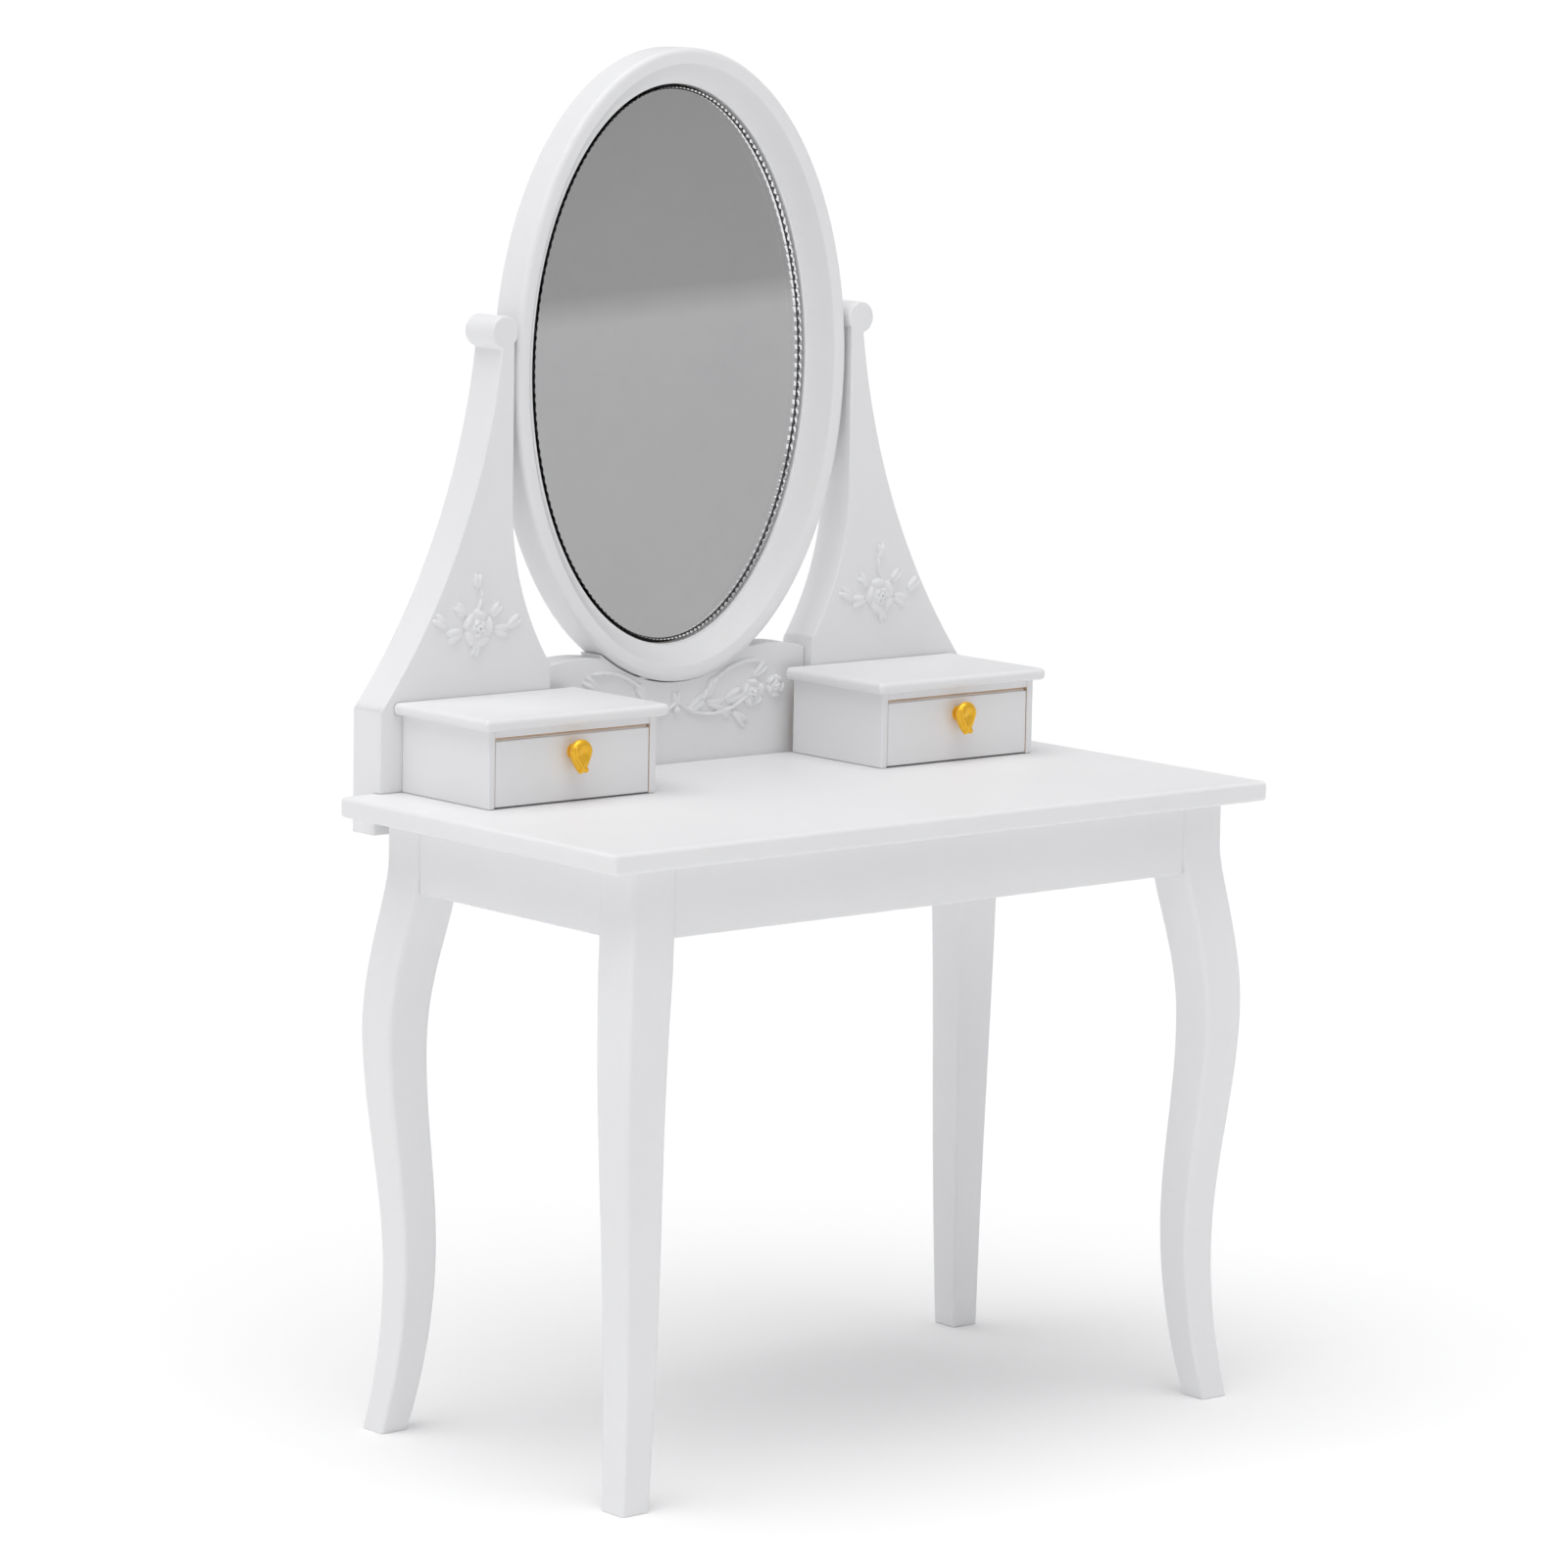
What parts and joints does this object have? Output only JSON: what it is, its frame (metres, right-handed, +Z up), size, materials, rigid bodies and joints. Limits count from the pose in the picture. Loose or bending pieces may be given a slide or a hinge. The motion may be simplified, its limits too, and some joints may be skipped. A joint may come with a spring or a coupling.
{
  "type": "miniature dressing table",
  "caption": "Dolls' house dressing table with curved legs, a tilting oval mirror between flared wings, and small drawers with gold knobs.",
  "frame": {"origin": "on the floor, under the middle of the bounding box", "axes": "+X to the right of someone who faces the mirror, +Y to the back, +Z up"},
  "size_m": [0.083, 0.046, 0.134],
  "materials": {
    "white_paint": "white satin paint on wood",
    "bare_wood": "unpainted fine-grained wood",
    "mirror_plate": "silvered acrylic mirror",
    "gilt_metal": "bright gold coloured cast metal",
    "pin_steel": "bright drawn wire"
  },
  "bodies": {
    "root": {"table_top": "white_paint", "apron_front": "white_paint", "apron_back": "white_paint", "apron_left": "white_paint", "apron_right": "white_paint", "leg_front_left": "white_paint", "leg_front_right": "white_paint", "leg_back_left": "white_paint", "leg_back_right": "white_paint", "wing_left": "white_paint", "wing_right": "white_paint", "centre_panel": "white_paint", "spray_left": "white_paint", "spray_right": "white_paint", "spray_centre": "white_paint", "pivot_pin_left": "pin_steel", "pivot_pin_right": "pin_steel", "case_left_inner_side": "white_paint", "case_left_outer_side": "white_paint", "case_left_ceiling": "white_paint", "lid_left": "white_paint", "case_left_back": "bare_wood", "case_right_inner_side": "white_paint", "case_right_outer_side": "white_paint", "case_right_ceiling": "white_paint", "lid_right": "white_paint", "case_right_back": "bare_wood"},
    "left_drawer": {"drawer_left_front": "white_paint", "drawer_left_inner_side": "bare_wood", "drawer_left_outer_side": "bare_wood", "drawer_left_back": "bare_wood", "drawer_left_bottom": "bare_wood", "knob_left": "gilt_metal"},
    "right_drawer": {"drawer_right_front": "white_paint", "drawer_right_inner_side": "bare_wood", "drawer_right_outer_side": "bare_wood", "drawer_right_back": "bare_wood", "drawer_right_bottom": "bare_wood", "knob_right": "gilt_metal"},
    "mirror": {"mirror_frame": "white_paint", "mirror_plate": "mirror_plate", "mirror_backing": "bare_wood"}
  },
  "joints": [
    {"name": "left_drawer_slide", "type": "slide", "parent": "root", "child": "left_drawer", "axis": [0, -1, 0], "range_m": [0, 0.009]},
    {"name": "right_drawer_slide", "type": "slide", "parent": "root", "child": "right_drawer", "axis": [0, -1, 0], "range_m": [0, 0.009]},
    {"name": "mirror_tilt", "type": "hinge", "parent": "root", "child": "mirror", "pos_m": [0, 0.02075, 0.1066], "axis": [1, 0, 0], "range_deg": [-20, 20]}
  ]
}
